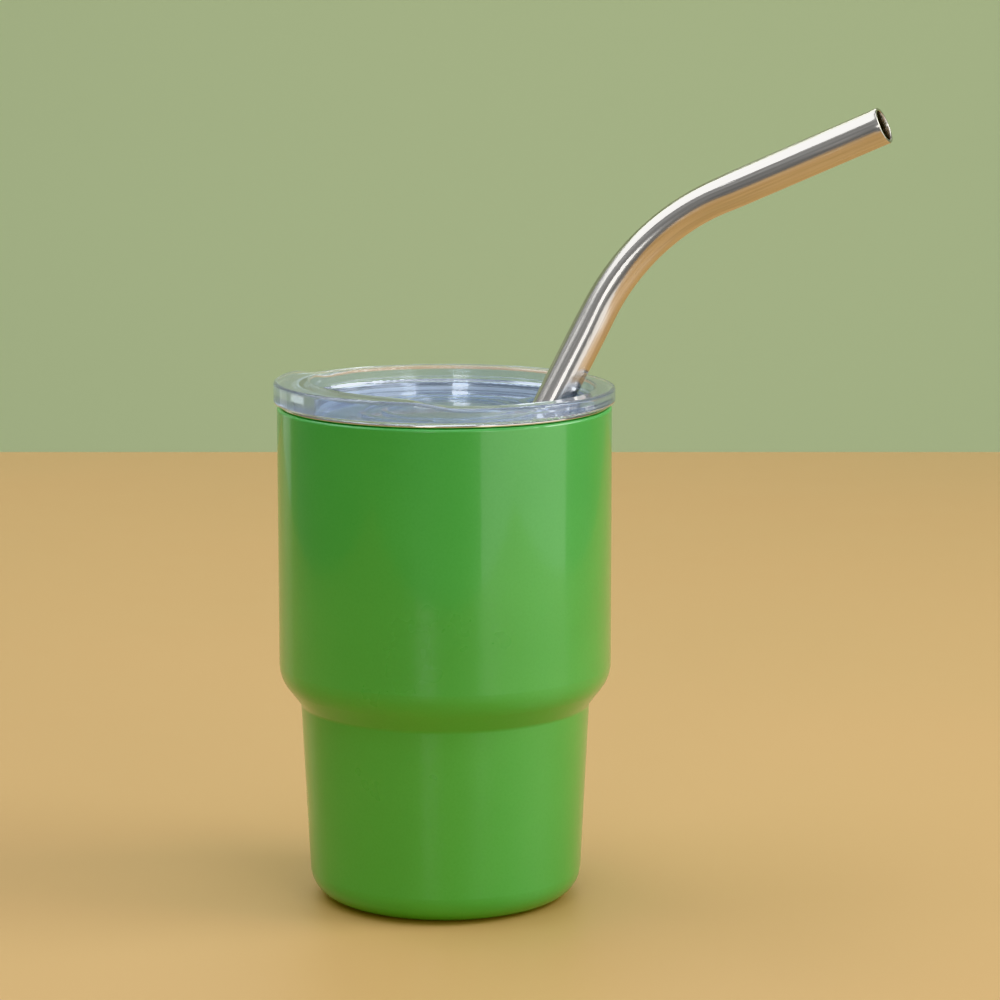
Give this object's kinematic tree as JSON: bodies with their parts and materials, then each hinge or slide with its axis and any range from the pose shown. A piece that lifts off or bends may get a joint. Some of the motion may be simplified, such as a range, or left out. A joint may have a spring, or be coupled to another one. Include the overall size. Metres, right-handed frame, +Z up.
{
  "type": "straw tumbler",
  "caption": "Small double-wall steel tumbler with a stepped painted body, a clear push-in lid with a raised drinking lip, and a bent steel straw.",
  "frame": {"origin": "centre of the foot, on the surface the tumbler stands on", "axes": "+Z up along the body's axis; the straw hole lies on +X and the straw leans in the XZ plane, its bend turned towards -Y; the raised lip is near -X"},
  "size_m": [0.0954, 0.0552, 0.1291],
  "materials": {
    "body_paint": "glossy green powder coat on thin steel sheet",
    "base_paint": "green powder coat, thinner than on the sides",
    "liner_steel": "turned and brushed stainless steel",
    "straw_steel": "drawn stainless tube, satin polish",
    "solder": "dull solder",
    "getter": "sintered powder",
    "clear_lid": "clear, polished",
    "seal_rubber": "milky translucent silicone"
  },
  "bodies": {
    "cup": {"outer_shell": "body_paint", "inner_liner": "liner_steel", "liner_base": "liner_steel", "outer_base": "base_paint", "seal_bead": "solder", "dimple_cover": "base_paint", "getter_pill": "getter", "getter_clip": "liner_steel"},
    "seal": {"lid_seal": "seal_rubber"},
    "lid": {"lid": "clear_lid"},
    "straw": {"straw": "straw_steel"}
  },
  "joints": [
    {"name": "lid_lift", "type": "slide", "parent": "cup", "child": "seal", "axis": [0, 0, 1], "range_m": [0, 0.075]},
    {"name": "lid_turn", "type": "hinge", "parent": "seal", "child": "lid", "pos_m": [0, 0, 0.0794], "axis": [0, 0, 1], "continuous": true},
    {"name": "straw_pull", "type": "slide", "parent": "lid", "child": "straw", "axis": [0.471, 0, 0.8821], "range_m": [0, 0.08]}
  ]
}
